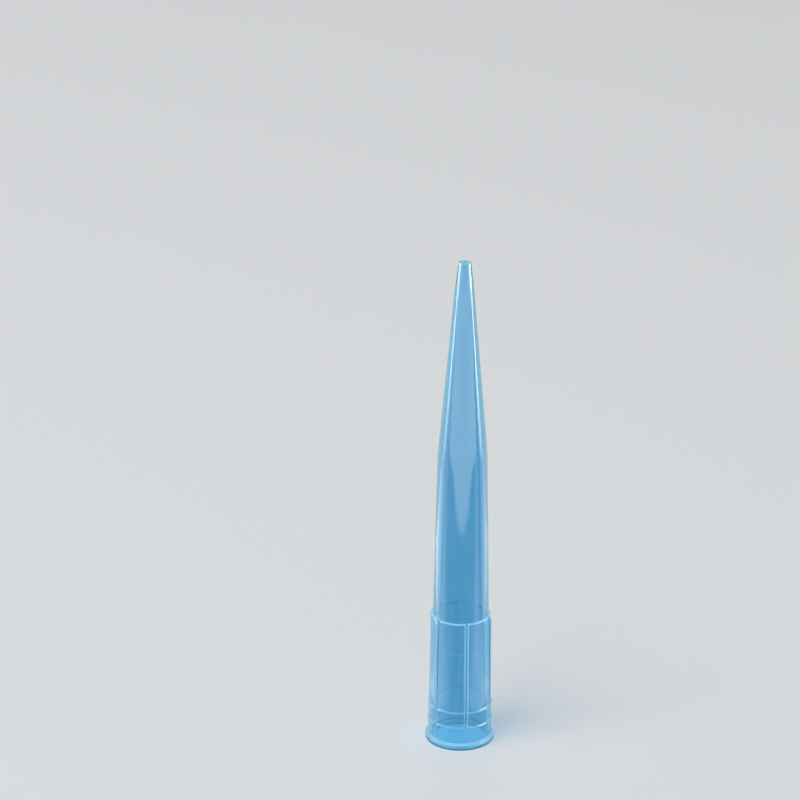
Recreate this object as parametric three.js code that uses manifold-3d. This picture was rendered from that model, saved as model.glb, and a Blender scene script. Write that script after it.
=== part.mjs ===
// A pipette tip for volumes up to one millilitre, moulded in one piece from thin polypropylene.
// From the wide end up it has a rim bead, two plain bands with a ring line at the top of each, a
// ribbed collar that ends in a shoulder, a slim barrel, a knee, and a cone with a short nose.
//
// The tip stands on its rim. The origin is the centre of the rim's lower face, and +Z runs up the
// axis to the narrow end. All sizes are in millimetres and all angles in degrees.

import * as THREE from 'three';
import { mergeVertices, toCreasedNormals } from 'three/addons/utils/BufferGeometryUtils.js';
import Module from 'manifold-3d';

// ---- Driving dimensions ------------------------------------------------------------------------

// Heights of the stretches, stacked from the rim's lower face to the narrow end.
const rimHeight = 0.85;
const lowerBandHeight = 2.6;
const upperBandHeight = 2.3;
const ribbedHeight = 13.45;
const barrelHeight = 24;
const coneHeight = 23.8;
const noseHeight = 4;

// Nozzle seat: the tapered bore of the collar, which slides over the pipette's nozzle and grips it.
const mouthBore = 8;
const seatBore = 6.88;
const seatDepth = 14.3;
const mouthRounding = 0.12;

// Outside of the collar, built outwards from the mouth.
const collarWall = 0.54;
const rimOverhang = 0.36;
const rimRounding = 0.42;
const ringStep = 0.05;
const grooveDraft = 1.1;
const shoulderWidth = 0.24;

// Ribs on the collar: stiffeners that also centre the tip in its rack. The grooves between them
// lean in more than the ribs do, so a rib stands out most at the shoulder.
const ribCount = 6;
const ribWidth = 0.45;
const ribStand = 0.07;
const ribDraft = 0.25;
const ribHeadRounding = 0.35;
const ribEdge = 0.08;

// Barrel, cone and nose.
const barrelWall = 0.52;
const barrelDraft = 1.2;
const kneeBlend = 1.3;
const noseDiameter = 2.64;
const endDiameter = 1.75;
const orificeBore = 0.9;

// Small rounding left by the mould on every outer edge.
const edgeRounding = 0.1;

// Flat facets that stand for the round surfaces.
const facetsAround = 72;
const facetsPerRounding = 3;
const creaseAngle = 20;

// ---- Derived sizes -----------------------------------------------------------------------------

const lowerRingHeight = rimHeight + lowerBandHeight;
const upperRingHeight = lowerRingHeight + upperBandHeight;
const shoulderHeight = upperRingHeight + ribbedHeight;
const kneeHeight = shoulderHeight + barrelHeight;
const noseFootHeight = kneeHeight + coneHeight;
const endHeight = noseFootHeight + noseHeight;

// Radius lost over a height by a wall that leans in by an angle.
function taper(height, angle) {
  return height * Math.tan(THREE.MathUtils.degToRad(angle));
}

const mouthRadius = mouthBore / 2;
const seatRadius = seatBore / 2;
const lowerBandRadius = mouthRadius + collarWall;
const rimRadius = lowerBandRadius + rimOverhang;
const upperBandRadius = lowerBandRadius - ringStep;
const grooveFootRadius = upperBandRadius - ringStep;
const grooveHeadRadius = grooveFootRadius - taper(ribbedHeight, grooveDraft);
const ribFootRadius = upperBandRadius + ribStand;
const ribHeadRadius = ribFootRadius - taper(ribbedHeight, ribDraft);
const barrelFootRadius = grooveHeadRadius - shoulderWidth;
const kneeRadius = barrelFootRadius - taper(barrelHeight, barrelDraft);
const barrelBoreRadius = barrelFootRadius - barrelWall;
const kneeBoreRadius = kneeRadius - barrelWall;

// ---- Outline of the turned body ----------------------------------------------------------------

// One corner of an outline: its distance from the axis, its height, and how far along both of its
// sides the rounding reaches.
function corner(radius, height, rounding = 0) {
  return { point: new THREE.Vector2(radius, height), rounding };
}

// Half section of the tip, up the outside from the rim and back down the bore.
const bodyOutline = [
  corner(rimRadius, 0, edgeRounding),
  corner(rimRadius, rimHeight, rimRounding),
  corner(lowerBandRadius, rimHeight, rimRounding),
  corner(lowerBandRadius, lowerRingHeight - ringStep),
  corner(upperBandRadius, lowerRingHeight),
  corner(upperBandRadius, upperRingHeight - ringStep),
  corner(grooveFootRadius, upperRingHeight),
  corner(grooveHeadRadius, shoulderHeight, edgeRounding),
  corner(barrelFootRadius, shoulderHeight, edgeRounding),
  corner(kneeRadius, kneeHeight, kneeBlend),
  corner(noseDiameter / 2, noseFootHeight, kneeBlend),
  corner(endDiameter / 2, endHeight, edgeRounding),
  corner(orificeBore / 2, endHeight, edgeRounding),
  corner(kneeBoreRadius, kneeHeight, kneeBlend),
  corner(barrelBoreRadius, shoulderHeight),
  corner(seatRadius, seatDepth, edgeRounding),
  corner(mouthRadius, 0, mouthRounding),
];

// Points of a closed outline. Each corner with a rounding becomes a curve that starts and ends on
// its two sides. A rounding stops at the middle of a side that is too short for it.
function roundedOutline(corners) {
  const path = new THREE.Path();
  const count = corners.length;
  corners.forEach(({ point, rounding }, index) => {
    const before = corners[(index + count - 1) % count].point;
    const after = corners[(index + 1) % count].point;
    const reach = Math.min(rounding, point.distanceTo(before) / 2, point.distanceTo(after) / 2);
    const start = point.clone().lerp(before, reach / point.distanceTo(before));
    const end = point.clone().lerp(after, reach / point.distanceTo(after));
    if (index === 0) {
      path.moveTo(start.x, start.y);
    } else {
      path.lineTo(start.x, start.y);
    }
    if (reach > 0) {
      path.quadraticCurveTo(point.x, point.y, end.x, end.y);
    }
  });
  path.closePath();
  return path.getPoints(facetsPerRounding);
}

// The body is the outline turned about the axis. The lathe turns about its own Y axis, which is
// then tipped up to Z.
function bodyGeometry() {
  const body = new THREE.LatheGeometry(roundedOutline(bodyOutline), facetsAround);
  return body.rotateX(Math.PI / 2);
}

// ---- Ribs --------------------------------------------------------------------------------------

// Side view of one rib, from inside the rim bead up to the shoulder. Its inner side runs up the
// middle of the wall, so that the rib is rooted in the wall and stays clear of the bore.
const ribOutline = [
  corner((mouthRadius + lowerBandRadius) / 2, rimHeight / 2),
  corner(ribFootRadius, rimHeight / 2),
  corner(ribFootRadius, upperRingHeight),
  corner(ribHeadRadius, shoulderHeight, ribHeadRounding),
  corner((barrelBoreRadius + barrelFootRadius) / 2, shoulderHeight),
];

// One rib: its side view given the rib's width, with the long edges rounded over, and turned to
// its place around the axis.
function ribGeometry(index) {
  const side = new THREE.Shape(roundedOutline(ribOutline));
  const flatWidth = ribWidth - 2 * ribEdge;
  const rib = new THREE.ExtrudeGeometry(side, {
    depth: flatWidth,
    bevelThickness: ribEdge,
    bevelSize: ribEdge,
    bevelOffset: -ribEdge,
    bevelSegments: 2,
  });
  rib.translate(0, 0, -flatWidth / 2);
  rib.rotateX(Math.PI / 2);
  rib.rotateZ((index / ribCount) * 2 * Math.PI - Math.PI / 2);
  return rib;
}

// ---- Joining -----------------------------------------------------------------------------------

const wasm = await Module();
wasm.setup();

// Closed geometry as a solid that can be joined to others.
function solidOf(geometry) {
  const bare = geometry.clone();
  bare.deleteAttribute('normal');
  bare.deleteAttribute('uv');
  const merged = mergeVertices(bare);
  return new wasm.Manifold(new wasm.Mesh({
    numProp: 3,
    vertProperties: merged.getAttribute('position').array,
    triVerts: new Uint32Array(merged.index.array),
  }));
}

// Solid as geometry, smooth over the round surfaces and crisp at the edges.
function geometryOf(solid) {
  const { vertProperties, triVerts } = solid.getMesh();
  const geometry = new THREE.BufferGeometry();
  geometry.setAttribute('position', new THREE.BufferAttribute(vertProperties, 3));
  geometry.setIndex(new THREE.BufferAttribute(triVerts, 1));
  return toCreasedNormals(geometry, THREE.MathUtils.degToRad(creaseAngle));
}

// The moulding: the turned body with all its ribs grown onto it.
function mouldedTip() {
  let moulding = solidOf(bodyGeometry());
  for (let index = 0; index < ribCount; index += 1) {
    moulding = moulding.add(solidOf(ribGeometry(index)));
  }
  return geometryOf(moulding);
}

// ---- The part ----------------------------------------------------------------------------------

// Clear blue polypropylene.
const bluePolypropylene = new THREE.MeshStandardMaterial({
  color: 0x3f9fd6,
  roughness: 0.25,
  metalness: 0,
  transparent: true,
  opacity: 0.6,
});

const pipetteTip = new THREE.Mesh(mouldedTip(), bluePolypropylene);
pipetteTip.name = 'pipette_tip';

const group = new THREE.Group();
group.add(pipetteTip);

export default group;
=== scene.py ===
# %% [markdown]
# # A one-millilitre pipette tip in clear blue plastic
#
# A pipette tip is a single thin moulding. From its wide end up it has a rim bead, two plain bands
# with a thin ring line at the top of each, a collar with six ribs, a shoulder, a slim barrel, and
# a long cone with a short nose. A tapered bore runs all the way through it. What makes it look
# like itself is the plastic: light goes in at every edge, travels along the wall and comes out
# somewhere else. So the steps glow, and so do the limbs, the two long outlines of the round wall,
# while the middle stays see-through.
#
# That only works if the walls are real. So this lesson builds the whole wall, inside and outside,
# as one closed surface, and lets the plastic do most of the rest. A paler tint painted on the
# edges adds to their glow.

# %% Load the frame
import math

import bpy
import numpy as np
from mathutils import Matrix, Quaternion, Vector


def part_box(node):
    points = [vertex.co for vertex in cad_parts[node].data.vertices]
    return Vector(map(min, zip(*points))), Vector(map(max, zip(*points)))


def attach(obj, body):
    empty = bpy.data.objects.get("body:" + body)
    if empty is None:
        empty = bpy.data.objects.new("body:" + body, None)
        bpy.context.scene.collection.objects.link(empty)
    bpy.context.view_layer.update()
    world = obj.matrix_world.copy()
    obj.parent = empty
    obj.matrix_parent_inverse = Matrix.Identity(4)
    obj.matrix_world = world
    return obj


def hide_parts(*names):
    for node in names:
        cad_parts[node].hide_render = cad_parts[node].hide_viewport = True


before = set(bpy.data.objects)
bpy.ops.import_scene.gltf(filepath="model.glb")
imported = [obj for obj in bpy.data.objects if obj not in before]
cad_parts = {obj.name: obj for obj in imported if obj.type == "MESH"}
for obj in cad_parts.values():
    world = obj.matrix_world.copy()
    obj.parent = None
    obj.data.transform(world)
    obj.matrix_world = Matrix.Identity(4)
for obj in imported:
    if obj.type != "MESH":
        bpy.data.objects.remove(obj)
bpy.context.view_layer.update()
tip_low, tip_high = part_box("pipette_tip")
scene = bpy.context.scene
MM = 0.001           # metres
UP = Vector((0, 0, 1))
print("the tip stands", round(tip_high.z / MM, 2), "mm tall on a rim of",
      round((tip_high.x - tip_low.x) / MM, 2), "mm")

# %% [markdown]
# ## The half section
#
# The tip is turned about its axis, so one drawing says nearly all of it: the half section. It is
# a closed outline that goes up the outside and comes back down the bore. Each corner has a
# height, a radius and a small rounding, because a mould leaves no sharp edge.
#
# The ribs need a second drawing. Cut through the crown of a rib, the collar is one plain line from
# the rim to the shoulder. Cut through the groove between two ribs, it shows the bands, the ring
# lines and the groove floor, which leans in towards the shoulder and leaves the rib standing.
# Both drawings have the same corners in the same order, and differ only in radius and rounding,
# so later one can be blended into the other.
#
# The bore is the same in both. Its lower stretch is the seat, a taper that grips the nozzle of the
# pipette. Where the seat ends, the pin that shaped it has a tiny ledge, which shows through the
# wall as a faint ring half-way up the collar.

# %% Heights, from the rim up, in millimetres
RIM_HEIGHT = 0.85
LOWER_RING = 3.45
UPPER_RING = 5.75
SEAT_DEPTH = 14.3
SHOULDER = 19.2
KNEE = 43.2
NOSE_FOOT = 67.0
END_HEIGHT = tip_high.z / MM
RING_HEIGHT = 0.28   # height of a ring line, up to the height that names it
RING_EDGE = 0.1      # height of each slanted edge of a ring line
LEDGE_HEIGHT = 0.1   # height of the slanted face of the ledge at the end of the seat
print("the collar is", SHOULDER, "mm tall, the barrel", round(KNEE - SHOULDER, 1),
      "mm and the cone with its nose", round(END_HEIGHT - KNEE, 1), "mm")

# %% [markdown]
# A few sizes drive all the radii. The rim's comes from the solid, and the steps at the ring lines
# and the shoulder lead inwards from it. A long wall isn't upright: the mould's steel has to slide
# off the plastic, so each one leans in by a degree or so, and the radius at its top follows from
# that lean. The bore of the barrel follows its outside, one wall's thickness further in.

# %% Radii, outside and inside, in millimetres
RIM_OVERHANG = 0.36  # how far the rim bead stands out from the band above it
RING_STEP = 0.05     # how far the outside steps in above each ring line
RING_STAND = 0.02    # how far a ring line stands proud of its band
RIB_STAND = 0.07     # how far the foot of a rib's crown stands out from the upper band
SHOULDER_WIDTH = 0.24
COLLAR_WALL = 0.54   # at the mouth
BARREL_WALL = 0.52
GROOVE_LEAN, CROWN_LEAN, BARREL_LEAN = np.radians([1.1, 0.25, 1.2])


def lean_in(radius, foot, top, angle):
    """The radius at the top of a wall: radius - (top - foot) * tan(angle)."""
    return radius - (top - foot) * math.tan(angle)


RIM_RADIUS = tip_high.x / MM
LOWER_BAND = RIM_RADIUS - RIM_OVERHANG
UPPER_BAND = LOWER_BAND - RING_STEP
GROOVE_FOOT = UPPER_BAND - RING_STEP
GROOVE_HEAD = lean_in(GROOVE_FOOT, UPPER_RING, SHOULDER, GROOVE_LEAN)
CROWN_FOOT = UPPER_BAND + RIB_STAND
CROWN_HEAD = lean_in(CROWN_FOOT, UPPER_RING, SHOULDER, CROWN_LEAN)
BARREL_FOOT = GROOVE_HEAD - SHOULDER_WIDTH
KNEE_RADIUS = lean_in(BARREL_FOOT, SHOULDER, KNEE, BARREL_LEAN)
NOSE_RADIUS = 1.32
END_RADIUS = 0.875

ORIFICE = 0.45
KNEE_BORE = KNEE_RADIUS - BARREL_WALL
BARREL_BORE = BARREL_FOOT - BARREL_WALL
SEAT_BORE = 3.44
MOUTH_BORE = LOWER_BAND - COLLAR_WALL
SEAT_LEDGE = 0.017   # how far the ledge at the end of the seat stands in
print("the barrel narrows from", round(2 * BARREL_FOOT, 2), "to", round(2 * KNEE_RADIUS, 2),
      "mm across, around a bore of", round(2 * BARREL_BORE, 2), "to", round(2 * KNEE_BORE, 2), "mm")

# %% [markdown]
# Now the two drawings side by side. Each line below is one corner: its height, its radius and
# rounding in the groove, and its radius and rounding on the crown of a rib. Where the two agree,
# the radius and rounding are written once, and a crown's corner is crisp where nothing else is
# said. The roundings have names: crisp is a step in the mould, an edge is what a tool leaves, a
# head is the rounded top of a rib, a bead is a soft roll, and a bend is a gentle change of slope.

# %% Roundings, in millimetres along each side of a corner
CRISP = 0.02
FINE_EDGE = 0.04
EDGE = 0.1
HEAD = 0.35
BEAD = 0.42
BEND = 1.3
print("roundings reach from", CRISP, "to", BEND, "mm along a side")

# %% Corners of both drawings
def plain(height, radius, rounding):
    """A corner that is the same in the groove and on a rib's crown."""
    return height, radius, rounding, radius, rounding


def ribbed(height, groove, rounding, crown, crown_rounding=CRISP):
    """A corner where the rib's crown stands proud of the groove."""
    return height, groove, rounding, crown, crown_rounding


corners = np.array([
    plain(0, RIM_RADIUS, EDGE),
    plain(RIM_HEIGHT, RIM_RADIUS, BEAD),
    ribbed(RIM_HEIGHT, LOWER_BAND, BEAD, CROWN_FOOT, BEAD),
    ribbed(LOWER_RING - RING_HEIGHT, LOWER_BAND, CRISP, CROWN_FOOT),
    ribbed(LOWER_RING - RING_HEIGHT + RING_EDGE, LOWER_BAND + RING_STAND, CRISP, CROWN_FOOT),
    ribbed(LOWER_RING - RING_EDGE, LOWER_BAND + RING_STAND, CRISP, CROWN_FOOT),
    ribbed(LOWER_RING, UPPER_BAND, CRISP, CROWN_FOOT),
    ribbed(UPPER_RING - RING_HEIGHT, UPPER_BAND, CRISP, CROWN_FOOT),
    ribbed(UPPER_RING - RING_HEIGHT + RING_EDGE, UPPER_BAND + RING_STAND, CRISP, CROWN_FOOT),
    ribbed(UPPER_RING - RING_EDGE, UPPER_BAND + RING_STAND, CRISP, CROWN_FOOT),
    ribbed(UPPER_RING, GROOVE_FOOT, CRISP, CROWN_FOOT),
    ribbed(SHOULDER, GROOVE_HEAD, EDGE, CROWN_HEAD, HEAD),
    plain(SHOULDER, BARREL_FOOT, EDGE),
    plain(KNEE, KNEE_RADIUS, BEND),
    plain(NOSE_FOOT, NOSE_RADIUS, BEND),
    plain(END_HEIGHT, END_RADIUS, FINE_EDGE),
    plain(END_HEIGHT, ORIFICE, FINE_EDGE),
    plain(KNEE, KNEE_BORE, BEND),
    plain(SHOULDER, BARREL_BORE, EDGE),
    plain(SEAT_DEPTH, SEAT_BORE, CRISP),
    plain(SEAT_DEPTH - LEDGE_HEIGHT, SEAT_BORE + SEAT_LEDGE, CRISP),
    plain(0, MOUTH_BORE, EDGE),
])
FIRST_BORE_CORNER = 16   # the orifice, where the drawing turns down into the bore
print("the half section has", len(corners), "corners")

# %% [markdown]
# ## Rounding the corners
#
# A rounded corner is an arc that touches both sides of the corner at the same distance from it.
# Between two arcs the outline is straight. The function below works out all arcs and all straight
# stretches at once, as arrays.
#
# The points on a long straight stretch crowd towards its two ends. Clear plastic shows the
# slightest ripple in its shading, and a short first step keeps the shading of an arc from leaking
# into the long flat wall beside it. A short stretch needs no points of its own.

# %% Rounded outline
ARC_POINTS = 7
SIDE_STEPS = 11      # steps along a long side, from the end of one arc to the start of the next
LONG_SIDE = 0.4      # millimetres
NEARLY = 0.98        # share of a side that the two arcs on it may use up, so no face is empty


def unit(vectors):
    """Each vector divided by its own length."""
    return vectors / np.linalg.norm(vectors, axis=-1, keepdims=True)


def rounded_outline(points, rounding, long_sides):
    """A closed outline through the points, each corner replaced by an arc.

    For a corner P with unit directions a and b along its two sides, the arc starts at A = P + t*a
    and ends at B = P + t*b. The reach t is the corner's rounding, or its share of a side that is
    too short for the roundings at both ends. With s from 0 to 1, a point of the arc is
    ((1-s)^2 * A + 2*q*s*(1-s) * P + s^2 * B) / ((1-s)^2 + 2*q*s*(1-s) + s^2), where q is the sine
    of half the angle at the corner. That is exactly an arc of a circle, and it also holds at a
    corner that doesn't turn. A point of the straight stretch from one arc's end C to the next
    arc's start D is (1-s)*C + s*D, with s = (1 - cos(pi*k/n)) / 2 for the steps k of n, and only
    a long side keeps those points."""
    before = np.roll(points, 1, axis=0) - points
    after = np.roll(points, -1, axis=0) - points
    share_before = np.linalg.norm(before, axis=1) * rounding / (rounding + np.roll(rounding, 1))
    share_after = np.linalg.norm(after, axis=1) * rounding / (rounding + np.roll(rounding, -1))
    t = np.minimum(rounding, NEARLY * np.minimum(share_before, share_after))[:, None]
    a, b = unit(before), unit(after)
    q = np.sqrt((1 - (a * b).sum(1)) / 2)[:, None, None]
    start, corner, end = (points + t * a)[:, None], points[:, None], (points + t * b)[:, None]
    s = np.linspace(0, 1, ARC_POINTS)[None, :, None]
    first, middle, last = (1 - s) ** 2, 2 * q * s * (1 - s), s ** 2
    arcs = (first * start + middle * corner + last * end) / (first + middle + last)
    s = (1 - np.cos(math.pi * np.arange(1, SIDE_STEPS) / SIDE_STEPS))[None, :, None] / 2
    sides = (1 - s) * end + s * np.roll(start, -1, axis=0)
    kept = np.ones((len(points), ARC_POINTS + SIDE_STEPS - 1), dtype=bool)
    kept[~long_sides, ARC_POINTS:] = False
    return np.concatenate([arcs, sides], axis=1)[kept]


print("an arc has", ARC_POINTS, "points, and a long side", SIDE_STEPS - 1, "more")

# %% [markdown]
# Both drawings go through the function, and the groove's sides say which ones are long for both.
# So both get the same number of points in the same order, which is what a blend needs.

# %% Both drawings as points
height, groove, groove_rounding, crown, crown_rounding = corners.T
groove_points = np.stack([groove, height], axis=1)
crown_points = np.stack([crown, height], axis=1)
side_lengths = np.linalg.norm(np.roll(groove_points, -1, axis=0) - groove_points, axis=1)
long_sides = side_lengths > LONG_SIDE
groove_section = rounded_outline(groove_points, groove_rounding, long_sides)
crown_section = rounded_outline(crown_points, crown_rounding, long_sides)
print("each drawing has", len(groove_section), "points, and", long_sides.sum(), "long sides")

# %% [markdown]
# ## Around the axis
#
# Turning the drawing about the axis needs a list of angles. A plain lathe spaces them evenly, but
# six thin ribs would fall between them. Here the angles crowd where a rib's side rises and thin
# out over the groove floor, and the pattern repeats for every rib.
#
# The same list says how much of a rib there is at each angle: one on its crown, nothing in the
# groove, and an S-shaped rise in between that rounds the rib's edge and fills its foot.

# %% Angles and ribs
RIB_COUNT = 6
RIB_WIDTH = 0.45     # millimetres, at half the rib's height
RIB_RISE = 0.14      # millimetres across, the S-shaped side of a rib
FIRST_RIB = -math.pi / 2
CROWN_COLUMNS = 5
RISE_COLUMNS = 7
GROOVE_COLUMNS = 38

sector = 2 * math.pi / RIB_COUNT
crown_edge = (RIB_WIDTH - RIB_RISE) / 2 / CROWN_FOOT
rib_foot = (RIB_WIDTH + RIB_RISE) / 2 / CROWN_FOOT
from_rib = np.concatenate([
    np.linspace(-crown_edge, crown_edge, CROWN_COLUMNS, endpoint=False),
    np.linspace(crown_edge, rib_foot, RISE_COLUMNS, endpoint=False),
    np.linspace(rib_foot, sector - rib_foot, GROOVE_COLUMNS, endpoint=False),
    np.linspace(sector - rib_foot, sector - crown_edge, RISE_COLUMNS, endpoint=False),
])
angles = (FIRST_RIB + sector * np.arange(RIB_COUNT)[:, None] + from_rib).ravel()


def rib_share(away):
    """How much of a rib there is at an angle away from the rib's middle: 1 - (3*q*q - 2*q*q*q),
    where q goes from 0 at the crown's edge to 1 at the rib's foot and is held between them."""
    nearest = np.minimum(np.abs(away), np.abs(sector - away))
    q = np.clip((nearest - crown_edge) / (rib_foot - crown_edge), 0, 1)
    return 1 - q * q * (3 - 2 * q)


ribs = np.tile(rib_share(from_rib), RIB_COUNT)
print(len(angles), "angles,", int((ribs == 1).sum()), "of them on a crown")

# %% [markdown]
# ## The wall is never quite even
#
# The bore is shaped by a long steel pin that stands in the mould at one end only. The plastic
# pushes it a few hundredths of a millimetre aside, so one side of the wall is a little thicker,
# and the plastic's flow leaves faint streaks along the wall. Both are far too small to measure
# from outside, but they bend light, and without them clear plastic looks drawn and not moulded.

# %% Unevenness of the bore
PIN_SHIFT = 0.02     # millimetres
THICK_SIDE = -math.pi / 4
STREAK = 0.0035      # millimetres
STREAK_COUNTS = np.arange(4, 19)     # waves round the axis
SEED = 11
draws = np.random.default_rng(SEED)


def unevenness(angle):
    """How far the bore stands out at an angle, in millimetres.

    The pin's shift takes away PIN_SHIFT * cos(angle - THICK_SIDE), which is most on the thick
    side. The streaks add STREAK * sum / sqrt(n), where the sum is over n cosines with 4 to 18
    waves round the axis, each with a phase drawn at random."""
    phases = draws.uniform(0, 2 * math.pi, len(STREAK_COUNTS))
    streaks = np.cos(np.outer(angle, STREAK_COUNTS) + phases).sum(1) / len(STREAK_COUNTS) ** 0.5
    return STREAK * streaks - PIN_SHIFT * np.cos(angle - THICK_SIDE)


bore_shift = unevenness(angles)
print("the bore strays by", round(bore_shift.min(), 3), "to", round(bore_shift.max(), 3), "mm")

# %% [markdown]
# Where two parts of the mould meet, a little plastic can creep between them. It leaves a fleck of
# flash, here on the upper ring line. It is hardly wider than a hair, but it breaks the limb's
# clean line and catches the light.

# %% Fleck of flash
FLECK_ANGLE = math.radians(-11)
FLECK_HEIGHT = UPPER_RING - RING_HEIGHT / 2
FLECK_STAND = 0.12   # millimetres
FLECK_SIZE = 0.25    # millimetres from its middle to its edge


def fleck(angle, up):
    """How far the fleck stands out at an angle and height: FLECK_STAND * max(0, 1 - d*d)^2, with
    d the distance from the fleck's middle over the surface, divided by FLECK_SIZE."""
    round_the_band = UPPER_BAND * (angle - FLECK_ANGLE)
    d_squared = (round_the_band ** 2 + (up - FLECK_HEIGHT) ** 2) / FLECK_SIZE ** 2
    return FLECK_STAND * np.maximum(0, 1 - d_squared) ** 2


print("the fleck stands out", fleck(FLECK_ANGLE, FLECK_HEIGHT), "mm on the upper ring line")

# %% [markdown]
# ## The wall as one closed surface
#
# The surface has two parameters: where along the drawing, and at which angle. At each angle the
# drawing is a blend of the groove drawing and the crown drawing, and both parameters close on
# themselves, so the wall is a ring with no seam and no pole. It needs no modifier, no cut and no
# join, and every face is a quad.

# %% Tip surface
first_bore_row = (ARC_POINTS * FIRST_BORE_CORNER
                  + (SIDE_STEPS - 1) * int(long_sides[:FIRST_BORE_CORNER].sum()))


def tip_surface():
    """Points of the wall on a grid, rows along the drawing and columns round the axis.

    The radius is (1-m) * groove radius + m * crown radius, with m the rib share at the column's
    angle, and the heights are blended the same way. On the bore the radius also gains the
    unevenness times sin(pi * height / full height), which dies out at both ends, and on the
    outside it gains the fleck. Then x = radius * cos(angle), y = radius * sin(angle) and
    z = height."""
    m = ribs[None, :, None]
    section = (1 - m) * groove_section[:, None] + m * crown_section[:, None]
    radius, up = section[..., 0].copy(), section[..., 1]
    on_bore = np.arange(len(groove_section))[:, None] >= first_bore_row
    radius += on_bore * np.sin(math.pi * up / END_HEIGHT) * bore_shift
    radius += ~on_bore * fleck(angles, up)
    return np.stack([radius * np.cos(angles), radius * np.sin(angles), up], axis=-1)


wall_grid = tip_surface() * MM
print("the grid has", wall_grid.shape[0], "rows and", wall_grid.shape[1], "columns of points")

# %% [markdown]
# Blender keeps a mesh as flat lists: the place of every point, the corners of every face, and
# where each face starts in the list of corners. Whole arrays can be handed over at once, which is
# far quicker than adding faces one by one. Each face joins a point to its neighbours in the next
# row and column, and the last row and column join the first.

# %% Mesh over the grid
def closed_grid(name, grid):
    """A mesh object of quads over a grid of points that closes on itself both ways."""
    rows, columns = grid.shape[:2]
    index = np.arange(rows * columns).reshape(rows, columns)
    above = np.roll(index, -1, axis=0)
    beside, across = np.roll(index, -1, axis=1), np.roll(above, -1, axis=1)
    quads = np.stack([index, beside, across, above], axis=-1)
    mesh = bpy.data.meshes.new(name)
    mesh.vertices.add(rows * columns)
    mesh.vertices.foreach_set("co", grid.astype(np.float32).ravel())
    mesh.loops.add(quads.size)
    mesh.loops.foreach_set("vertex_index", quads.astype(np.int32).ravel())
    mesh.polygons.add(rows * columns)
    starts = np.arange(0, quads.size, quads.shape[-1], dtype=np.int32)
    mesh.polygons.foreach_set("loop_start", starts)
    mesh.polygons.foreach_set("use_smooth", np.ones(rows * columns, dtype=bool))
    mesh.update(calc_edges=True)
    piece = bpy.data.objects.new(name, mesh)
    scene.collection.objects.link(piece)
    return piece


tip = closed_grid("clear_tip", wall_grid)
print("the wall has", 2 * len(tip.data.polygons), "triangles")

# %% [markdown]
# A closed surface has a volume, and plastic has a density, so the finished wall can be weighed.
# That also shows that the faces point outwards, because a surface turned inside out would weigh
# less than nothing. A real tip of this size weighs 0.7 to 0.9 g.
#
# The wall then takes the place of the plain solid in the frame, and rides where that one stood.

# %% Weigh it and put it in its place
DENSITY = 905        # kilograms in a cubic metre of polypropylene


def enclosed_volume(grid):
    """A sixth of the sum over all triangles of a . (b x c), for their corners a, b and c."""
    a, b = grid, np.roll(grid, -1, axis=1)
    c, d = np.roll(b, -1, axis=0), np.roll(grid, -1, axis=0)
    return ((a * np.cross(b, c)).sum() + (a * np.cross(c, d)).sum()) / 6


print("it weighs", round(enclosed_volume(wall_grid) * DENSITY / MM, 3), "g")
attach(tip, "root")
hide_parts("pipette_tip")

# %% [markdown]
# ## What the surface knows about itself
#
# Two numbers go with every point of the wall, and the plastic reads them later.
#
# The first is sharpness. Light that travels along the wall comes out where the surface turns
# sharply, so edges look lighter and softer than the wall between them. The plastic paints part of
# that glow on, as a paler tint at the edges. It could be painted on by hand, but the surface is a
# formula, so its curvature can be worked out at every point, and that says where the glow goes.

# %% Sharpness
HALF_SHARP = 4000    # radians a metre: an edge rounded to 0.25 mm counts as half sharp


def sharpness(grid):
    """How sharply the surface turns at each point, from 0 to 1.

    The unit normal is the cross product of the two central differences of the grid. The curvature
    is the larger of change of normal / distance walked along a row and along a column, and the
    sharpness is curvature / (curvature + HALF_SHARP)."""
    across = np.roll(grid, -1, axis=1) - np.roll(grid, 1, axis=1)
    along = np.roll(grid, -1, axis=0) - np.roll(grid, 1, axis=0)
    normal = unit(np.cross(across, along))
    turn_across = np.roll(normal, -1, axis=1) - np.roll(normal, 1, axis=1)
    turn_along = np.roll(normal, -1, axis=0) - np.roll(normal, 1, axis=0)
    curvature = np.maximum(
        np.linalg.norm(turn_across, axis=-1) / np.linalg.norm(across, axis=-1),
        np.linalg.norm(turn_along, axis=-1) / np.linalg.norm(along, axis=-1))
    return curvature / (curvature + HALF_SHARP)


def keep_on_points(piece, name, values):
    """Stores one number with every point of a piece."""
    attribute = piece.data.attributes.new(name, "FLOAT", "POINT")
    attribute.data.foreach_set("value", values.astype(np.float32).ravel())


edge_share = sharpness(wall_grid)
keep_on_points(tip, "sharpness", edge_share)
print("sharpness runs from", round(edge_share.min(), 3), "to", round(edge_share.max(), 3))

# %% [markdown]
# The second is bloom, the slight milkiness of polypropylene. It is stronger on the collar, where
# the mould has a fine matt and the wall is thick, and weakest on the barrel. The flat face at the
# narrow end is dull, and stands out as a small blue ring. A few heights with a share at each, and
# a straight line between them, say all of that.

# %% Bloom
bloom_heights, bloom_shares = np.array([
    (0, 0.13),                         # rim
    (SHOULDER - EDGE, 0.12),           # top of the collar
    (SHOULDER + EDGE, 0.06),           # foot of the barrel
    (KNEE - BEND, 0.05),               # top of the barrel
    (KNEE + BEND, 0.08),               # foot of the cone
    (END_HEIGHT - FINE_EDGE, 0.10),    # edge of the narrow end
    (END_HEIGHT, 0.40),                # flat face of the narrow end
]).T


def bloom(grid):
    """The milky share of each point, read off straight lines between the shares above."""
    return np.interp(grid[..., 2] / MM, bloom_heights, bloom_shares)


keep_on_points(tip, "bloom", bloom(wall_grid))
print("bloom runs from", bloom_shares.min(), "to", bloom_shares.max())

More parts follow.
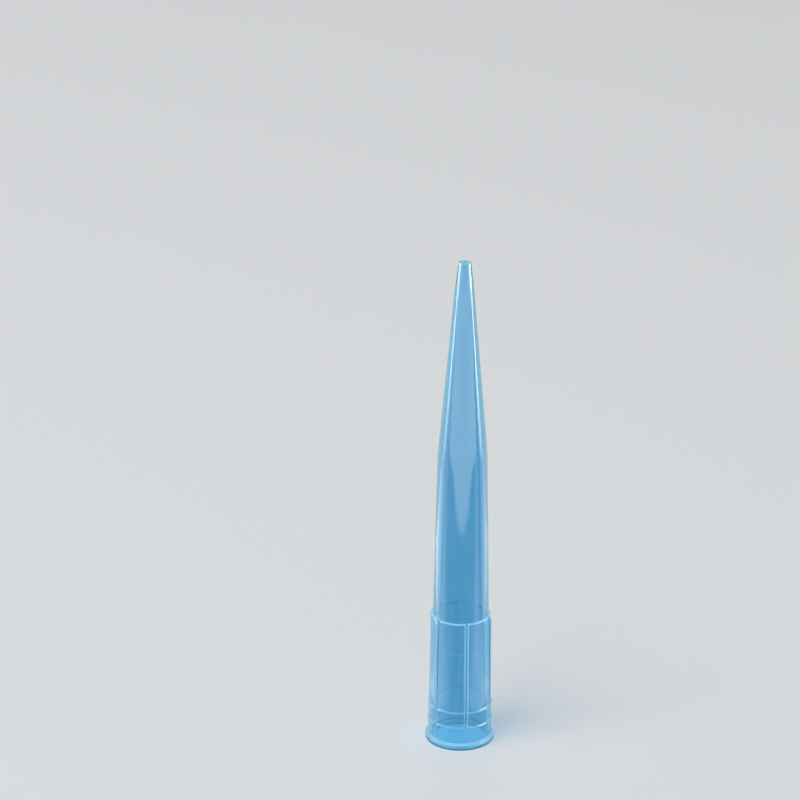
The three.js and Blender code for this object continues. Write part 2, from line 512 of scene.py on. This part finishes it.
# %% [markdown]
# ## Clear blue polypropylene
#
# The plastic is dyed right through. A little of its colour comes from how far light travels in
# it, which is volume absorption, and most from a tint at every surface that light crosses: the
# middle of the tip has four of them, and the limbs, where light is caught in the wall, only two.
# That is why the limbs are paler than the middle.
#
# A shader is a small chain of nodes. The helpers below add a node, link it to others and set its
# plain values in one line each, so that a material can be read like a sentence.

# %% Helpers for materials
def connect(tree, value, socket):
    """Links a node's output to a socket, or sets the socket to a plain value."""
    if isinstance(value, bpy.types.NodeSocket):
        tree.links.new(value, socket)
    else:
        socket.default_value = value


def add_node(tree, kind, **values):
    """A shader node of a kind, with each value connected to the input of its name."""
    node = tree.nodes.new(kind)
    for name, value in values.items():
        connect(tree, value, node.inputs[name.replace("_", " ")])
    return node


def calculate(tree, operation, first, second):
    """The result of a Math node on two values."""
    node = tree.nodes.new("ShaderNodeMath")
    node.operation = operation
    connect(tree, first, node.inputs[0])
    connect(tree, second, node.inputs[1])
    return node.outputs["Value"]


def new_material(name):
    """A material with nothing in it, its node tree and its output node."""
    material = bpy.data.materials.new(name)
    material.use_nodes = True
    tree = material.node_tree
    tree.nodes.clear()
    return material, tree, tree.nodes.new("ShaderNodeOutputMaterial")


print("helpers:", *[helper.__name__ for helper in (connect, add_node, calculate, new_material)])

# %% [markdown]
# Bloom is not quite even. It streaks along the tip, as the plastic flowed, which a noise drawn out
# along the axis gives. A few tiny specks are scattered over the wall, where dust sits on it or a
# bubble is caught in it. A cloud of random points fills the space, and the surface gets a speck
# wherever it passes close by one. Both patterns read the piece's own coordinates, so they stay
# where they are when the tip is moved.

# %% Streaks and specks
STREAKS_A_METRE = (900, 900, 40)       # across the tip, and along it
NOISE_LOW, NOISE_HIGH = 0.3, 0.7       # most of what the noise gives lies between these
FAINT_STREAK, STRONG_STREAK = 0.6, 1.4
SPECKS_A_METRE = 450
SPECK_SIZE = 0.04                      # as a share of the mean distance between specks
SPECK_SCATTER = 0.6


def flow_streaks(tree):
    """Noise drawn out along the axis, as a factor around 1."""
    place = tree.nodes.new("ShaderNodeTexCoord").outputs["Object"]
    stretched = add_node(tree, "ShaderNodeMapping", Vector=place, Scale=STREAKS_A_METRE)
    noise = add_node(tree, "ShaderNodeTexNoise", Vector=stretched.outputs["Vector"], Scale=1)
    factor = add_node(tree, "ShaderNodeMapRange", Value=noise.outputs["Fac"], From_Min=NOISE_LOW,
                      From_Max=NOISE_HIGH, To_Min=FAINT_STREAK, To_Max=STRONG_STREAK)
    return factor.outputs["Result"]


def specks(tree):
    """Tiny round blemishes: one where the surface passes close by a point of a random cloud."""
    place = tree.nodes.new("ShaderNodeTexCoord").outputs["Object"]
    cloud = add_node(tree, "ShaderNodeTexVoronoi", Vector=place, Scale=SPECKS_A_METRE)
    near = calculate(tree, "LESS_THAN", cloud.outputs["Distance"], SPECK_SIZE)
    return calculate(tree, "MULTIPLY", near, SPECK_SCATTER)


print("a speck reaches", round(SPECK_SIZE / SPECKS_A_METRE / MM, 3), "mm from its middle")

# %% [markdown]
# Milkiness makes part of the surface scatter light instead of passing it on. It is the largest of
# three things: the streaky bloom, what the edges add, and the specks. It lies on the face that
# light comes to from the air, because the light inside the wall has to run free.

# %% Milkiness
EDGE_SCATTER = 0.6


def stored_number(tree, name):
    """The number stored under a name with every point of the surface."""
    node = tree.nodes.new("ShaderNodeAttribute")
    node.attribute_name = name
    return node.outputs["Fac"]


def milkiness(tree, edge):
    """The share of light that is scattered: the largest of bloom * streaks, EDGE_SCATTER * edge
    and the specks, and nothing where light meets the surface from within."""
    milky = calculate(tree, "MULTIPLY", stored_number(tree, "bloom"), flow_streaks(tree))
    milky = calculate(tree, "MAXIMUM", milky, calculate(tree, "MULTIPLY", edge, EDGE_SCATTER))
    milky = calculate(tree, "MAXIMUM", milky, specks(tree))
    within = tree.nodes.new("ShaderNodeNewGeometry").outputs["Backfacing"]
    return calculate(tree, "MULTIPLY", milky, calculate(tree, "SUBTRACT", 1, within))


print("the sharpest edge scatters", round(EDGE_SCATTER * edge_share.max(), 2), "of its light")

# %% [markdown]
# Now the plastic itself. One shader does the whole surface, and the sharpness moves it from wall
# to edge: the tint gets paler, which is painted glow that stands in for light leaving the wall at
# its edges, and the finish rougher, which spreads out the light that edges send on. The dye's
# volume absorption fills the wall behind it.

# %% Plastic
WALL_TINT = (0.24, 0.62, 0.84, 1)
# painted glow: a paler tint for the edges, standing in for light that leaves the wall there
PAINTED_EDGE_GLOW = (0.42, 0.86, 1.0, 1)
DYE_COLOUR = (0.18, 0.62, 0.93, 1)
DYE_DENSITY = 100    # a metre
PLASTIC_IOR = 1.49
WALL_ROUGHNESS = 0.05
EDGE_ROUGHNESS = 0.5


def clear_blue_plastic():
    """Dyed see-through plastic with a painted glow of paler tint on its edges, and a streaky bloom.
    """
    material, tree, output = new_material("clear_blue_polypropylene")
    edge = stored_number(tree, "sharpness")
    # painted glow: the tint turns paler where the surface is sharp
    tint = tree.nodes.new("ShaderNodeMix")
    tint.data_type = "RGBA"
    connect(tree, edge, tint.inputs["Factor"])
    connect(tree, WALL_TINT, tint.inputs["A"])
    connect(tree, PAINTED_EDGE_GLOW, tint.inputs["B"])
    finish = add_node(tree, "ShaderNodeMapRange", Value=edge, To_Min=WALL_ROUGHNESS,
                      To_Max=EDGE_ROUGHNESS)
    clear = calculate(tree, "SUBTRACT", 1, milkiness(tree, edge))
    shader = add_node(tree, "ShaderNodeBsdfPrincipled", Base_Color=tint.outputs["Result"],
                      IOR=PLASTIC_IOR, Roughness=finish.outputs["Result"],
                      Transmission_Weight=clear)
    dye = add_node(tree, "ShaderNodeVolumeAbsorption", Color=DYE_COLOUR, Density=DYE_DENSITY)
    tree.links.new(shader.outputs["BSDF"], output.inputs["Surface"])
    tree.links.new(dye.outputs["Volume"], output.inputs["Volume"])
    return material


tip.data.materials.append(clear_blue_plastic())
print(tip.active_material.name, "has", len(tip.active_material.node_tree.nodes), "nodes")

# %% [markdown]
# ## Floor
#
# The tip stands on a plain pale floor that runs out of the picture on all sides. A curved sweep
# of paper would do too, but the camera looks down so far that it never sees the far edge, and one
# flat square is enough. Clear plastic shows what is behind it, so the floor is also most of what
# is seen through the tip.

# %% Floor
FLOOR_SIZE = 6.0     # metres
FLOOR_COLOUR = (0.78, 0.80, 0.82, 1)
FLOOR_ROUGHNESS = 0.6


def pale_floor():
    """A plain level square, big enough to fill the view."""
    half = FLOOR_SIZE / 2
    mesh = bpy.data.meshes.new("floor")
    mesh.from_pydata([(-half, -half, 0), (half, -half, 0), (half, half, 0), (-half, half, 0)], [],
                     [(0, 1, 2, 3)])
    floor = bpy.data.objects.new("floor", mesh)
    scene.collection.objects.link(floor)
    material, tree, output = new_material("pale_floor")
    shader = add_node(tree, "ShaderNodeBsdfPrincipled", Base_Color=FLOOR_COLOUR,
                      Roughness=FLOOR_ROUGHNESS)
    tree.links.new(shader.outputs["BSDF"], output.inputs["Surface"])
    mesh.materials.append(material)
    return floor


floor = pale_floor()
print("the floor measures", FLOOR_SIZE, "m each way")

# %% [markdown]
# ## Light from above
#
# One large soft light overhead keeps the floor even and gives the tip a soft shadow. In a real
# room much of that light passes through the clear blue wall, but the renderer's shadows take clear
# plastic for solid, and would leave the tip dim inside and its shadow grey.
#
# So the overhead light is two lamps in one place. The tip shades the first as usual. The second
# passes through it, because only the floor is in its blocker collection. The second is blue and
# the first takes the rest of white, so together they are white, and where only the second
# arrives, the shadow is light and blue.

# %% Overhead light
OVERHEAD_PLACE = Vector((-0.8, -0.5, 1.8))
OVERHEAD_SIZE = 1.2
OVERHEAD_POWER = 28  # watts, of both lamps together
THROUGH_TINT = Vector((0.60, 0.95, 1.15))
WHITE = Vector((1, 1, 1))
middle = UP * tip_high.z / 2


def softbox(name, place, width, tall, power, tint=WHITE):
    """A rectangular area light that faces the middle of the tip."""
    data = bpy.data.lights.new(name, "AREA")
    data.shape = "RECTANGLE"
    data.size, data.size_y, data.energy, data.color = width, tall, power, tint
    lamp = bpy.data.objects.new(name, data)
    lamp.location = place
    lamp.rotation_euler = (middle - lamp.location).to_track_quat("-Z", "Y").to_euler()
    scene.collection.objects.link(lamp)
    return lamp


def collection_of(name, piece):
    """A collection that holds one piece, for a lamp to be linked to."""
    collection = bpy.data.collections.new(name)
    collection.objects.link(piece)
    return collection


softbox("overhead_shaded", OVERHEAD_PLACE, OVERHEAD_SIZE, OVERHEAD_SIZE, OVERHEAD_POWER / 2,
        tint=2 * WHITE - THROUGH_TINT)
through = softbox("overhead_through", OVERHEAD_PLACE, OVERHEAD_SIZE, OVERHEAD_SIZE,
                  OVERHEAD_POWER / 2, tint=THROUGH_TINT)
through.light_linking.blocker_collection = collection_of("floor_alone", floor)
print("the overhead light is", round((OVERHEAD_PLACE - middle).length, 2), "m away")

# %% [markdown]
# ## Light on the edges
#
# Two soft strips and a panel light the plastic's edges. As the camera sees it, one strip stands
# straight to the left of the tip and one straight to its right, and the panel stands behind and
# above it. All three are close, and would leave bright patches on the floor, so only the tip is in
# their receiver collection. The camera doesn't see them, and they don't show through the plastic.

# %% Strips and panel
CAMERA_AZIMUTH = math.radians(-11.3)
to_camera = Vector((math.sin(CAMERA_AZIMUTH), -math.cos(CAMERA_AZIMUTH), 0))
to_right = Vector((math.cos(CAMERA_AZIMUTH), math.sin(CAMERA_AZIMUTH), 0))
STRIP_AWAY = 0.335   # from the tip's axis
STRIP_CENTRE = UP * 0.10
STRIP_WIDTH = 0.16
STRIP_TALL = 0.22
LEFT_STRIP_POWER = 1.1
RIGHT_STRIP_POWER = 1.6
PANEL_PLACE = Vector((0.08, 0.58, 0.58))
PANEL_WIDTH = 0.9
PANEL_TALL = 0.45
PANEL_POWER = 2.0
tip_alone = collection_of("tip_alone", tip)


def edge_light(name, place, width, tall, power):
    """A softbox for the tip alone, seen neither by the camera nor through the plastic."""
    lamp = softbox(name, place, width, tall, power)
    lamp.light_linking.receiver_collection = tip_alone
    lamp.visible_camera = False
    lamp.visible_transmission = False


edge_light("left_strip", STRIP_CENTRE - to_right * STRIP_AWAY, STRIP_WIDTH, STRIP_TALL,
           LEFT_STRIP_POWER)
edge_light("right_strip", STRIP_CENTRE + to_right * STRIP_AWAY, STRIP_WIDTH, STRIP_TALL,
           RIGHT_STRIP_POWER)
edge_light("back_panel", PANEL_PLACE, PANEL_WIDTH, PANEL_TALL, PANEL_POWER)
print(len(bpy.data.lights), "lights so far")

# %% [markdown]
# ## Cards on the bench
#
# The walls of the tip are nearly upright and the camera looks down on them, so what they mirror is
# not the room but the bench. Pale cards lie there, which only gloss sees. The wide one in front
# starts at a straight edge, and the tip mirrors it as a long pale wedge that fills the cone and
# comes to a point on the barrel, because the cone leans back and mirrors what is further away.

# %% Front card
CARD_LIFT = UP * 0.002
FRONT_GAP = 0.084    # from the tip's axis to the card's near edge
FRONT_WIDTH = 1.2
FRONT_DEPTH = 0.6
FRONT_POWER = 6.8


def card(name, place, width, depth, turn, power):
    """An area light that lies on the bench and faces up, and that only gloss sees."""
    lamp = softbox(name, place + CARD_LIFT, width, depth, power)
    lamp.rotation_euler = (math.pi, 0, CAMERA_AZIMUTH + turn)
    lamp.visible_camera = False
    lamp.visible_diffuse = False
    lamp.visible_transmission = False
    return lamp


card("front_card", to_camera * (FRONT_GAP + FRONT_DEPTH / 2), FRONT_WIDTH, FRONT_DEPTH, 0,
     FRONT_POWER)
print("the front card starts", FRONT_GAP / MM, "mm in front of the tip's axis")

# %% [markdown]
# The narrow cards at the sides make the thin bright line inside each limb. Each is brightest far
# out, where only the cone mirrors it. An area light can tell where on itself a point is, so its
# own nodes can make it fade.

# %% Side cards
SIDE_START = 0.04    # from the tip's axis, to the side
SIDE_END = 0.50
SIDE_DEPTH = 0.05
SIDE_TURN = math.radians(6.2)
SIDE_CROSSING = 0.316    # how far out the card's middle line is straight beside the tip
DIM_UNTIL, BRIGHT_FROM = 0.15, 0.5     # shares of the card's length
LEFT_NEAR_SHARE, RIGHT_NEAR_SHARE = 0.2, 0.1
LEFT_SIDE_POWER, RIGHT_SIDE_POWER = 0.75, 0.9
LEFT, RIGHT = -1, 1


def place_on_card(lamp, axis):
    """The light's node tree, and how far along its X or Y axis a point of the card is, from 0
    to 1."""
    lamp.data.use_nodes = True
    tree = lamp.data.node_tree
    on_card = tree.nodes.new("ShaderNodeNewGeometry").outputs["Parametric"]
    return tree, add_node(tree, "ShaderNodeSeparateXYZ", Vector=on_card).outputs[axis]


def side_card(name, side, near_share, power):
    """A narrow card that runs out to one side and comes slowly forward: at a distance x to the
    side it is (SIDE_CROSSING - x) * tan(SIDE_TURN) behind the tip. Its near end has a share of
    the brightness of its far end, with an S-shaped rise from one to the other. The light counts
    along its own X axis, so the left card is turned by half a turn more, to be brightest at its
    outer end too."""
    x = (SIDE_START + SIDE_END) / 2
    behind = (SIDE_CROSSING - x) * math.tan(SIDE_TURN)
    turn = -SIDE_TURN if side == RIGHT else math.pi + SIDE_TURN
    lamp = card(name, to_right * side * x - to_camera * behind, SIDE_END - SIDE_START, SIDE_DEPTH,
                turn, power)
    tree, along = place_on_card(lamp, "X")
    level = add_node(tree, "ShaderNodeMapRange", Value=along, From_Min=DIM_UNTIL,
                     From_Max=BRIGHT_FROM, To_Min=near_share, To_Max=1)
    level.interpolation_type = "SMOOTHSTEP"
    connect(tree, level.outputs["Result"], tree.nodes["Emission"].inputs["Strength"])


side_card("left_card", LEFT, LEFT_NEAR_SHARE, LEFT_SIDE_POWER)
side_card("right_card", RIGHT, RIGHT_NEAR_SHARE, RIGHT_SIDE_POWER)
print("the side cards run from", SIDE_START / MM, "to", SIDE_END / MM, "mm out")

# %% [markdown]
# Two faint cards run out between the front and the sides, and fade towards their long edges. They
# put a soft pale band down each half of the tip, which shows that the wall is round. They start
# close to the rim, because the foot of the tip mirrors the bench right beside it, and what is
# higher up mirrors what is further out.

# %% Band cards
BAND_START = 0.012   # from the tip's axis, along the card
BAND_END = 0.28
BAND_DEPTH = 0.03
BAND_POWER = 0.038
LEFT_FORWARD, RIGHT_FORWARD = math.radians(12), math.radians(24.5)


def band_card(name, side, forward):
    """A card that runs out from the tip at an angle forward of straight sideways. Its strength
    is 4 * y * (1 - y), with y from 0 to 1 across it, which is 1 along the middle of the card and
    fades to nothing at both long edges."""
    out = to_right * side * math.cos(forward) + to_camera * math.sin(forward)
    lamp = card(name, out * (BAND_START + BAND_END) / 2, BAND_END - BAND_START, BAND_DEPTH,
                -side * forward, BAND_POWER)
    tree, across = place_on_card(lamp, "Y")
    other = calculate(tree, "SUBTRACT", 1, across)
    level = calculate(tree, "MULTIPLY", calculate(tree, "MULTIPLY", across, other), 4)
    connect(tree, level, tree.nodes["Emission"].inputs["Strength"])


band_card("left_band_card", LEFT, LEFT_FORWARD)
band_card("right_band_card", RIGHT, RIGHT_FORWARD)
print("with the cards,", len(bpy.data.lights), "lights")

# %% [markdown]
# ## The world around
#
# The world is an even glow. If it were as bright as it looks, its light would wash out the shadow.
# So a Light Path node splits it: camera, gloss and clear plastic see it as white, and everything
# else gets a much dimmer fill from it.

# %% World
FILL_LIGHT = 0.3
BACKDROP = 1.0
GLOW_COLOUR = (1, 1, 1, 1)


def studio_world():
    """A glow that lights softly and that the camera, gloss and clear plastic see as white."""
    world = bpy.data.worlds.new("studio")
    world.use_nodes = True
    tree = world.node_tree
    rays = tree.nodes.new("ShaderNodeLightPath").outputs
    seen = calculate(tree, "MAXIMUM", rays["Is Glossy Ray"], rays["Is Transmission Ray"])
    seen = calculate(tree, "MAXIMUM", seen, rays["Is Camera Ray"])
    level = add_node(tree, "ShaderNodeMapRange", Value=seen, To_Min=FILL_LIGHT, To_Max=BACKDROP)
    background = tree.nodes["Background"]
    connect(tree, GLOW_COLOUR, background.inputs["Color"])
    connect(tree, level.outputs["Result"], background.inputs["Strength"])
    return world


scene.world = studio_world()
print("the world fills in with", FILL_LIGHT, "and looks like", BACKDROP)

# %% [markdown]
# ## Camera
#
# A long lens looks down from a little above, with one rib just right of the tip's middle. It is
# aimed a little above the middle of the tip and to its left, so the tip stands low and to the right
# in the picture.
#
# Light that is caught in a thin clear wall bounces many times before it comes out. If its path is
# cut short, the edges turn black, so the limits on bounces are raised.

# %% Camera and light paths
CAMERA_ELEVATION = math.radians(23)
CAMERA_DISTANCE = 0.430
CAMERA_ROLL = math.radians(0.2)
LENS = 139.6         # millimetres, on a sensor of 36
SENSOR = 36
LOOK_FROM = 0.035    # height on the axis that the distance is measured from
AIM_LEFT = 0.00878
AIM_ABOVE = 0.0150
PATH_LIMIT = 24      # bounces


def place_camera():
    """A camera on a line that rises from a point on the axis, aimed a little above that point and
    to its left."""
    data = bpy.data.cameras.new("camera")
    data.lens, data.sensor_width = LENS, SENSOR
    camera = bpy.data.objects.new("camera", data)
    back = to_camera * math.cos(CAMERA_ELEVATION) + UP * math.sin(CAMERA_ELEVATION)
    centre = UP * LOOK_FROM
    camera.location = centre + back * CAMERA_DISTANCE
    aim = centre - to_right * AIM_LEFT + back.cross(to_right) * AIM_ABOVE
    look = (aim - camera.location).to_track_quat("-Z", "Y")
    camera.rotation_mode = "QUATERNION"
    camera.rotation_quaternion = look @ Quaternion(UP, CAMERA_ROLL)
    scene.collection.objects.link(camera)
    return camera


scene.camera = place_camera()
scene.view_settings.view_transform = "Standard"
scene.cycles.max_bounces = PATH_LIMIT
scene.cycles.glossy_bounces = PATH_LIMIT
scene.cycles.transmission_bounces = PATH_LIMIT
print("the camera stands", round(scene.camera.location.z, 3), "m above the floor")
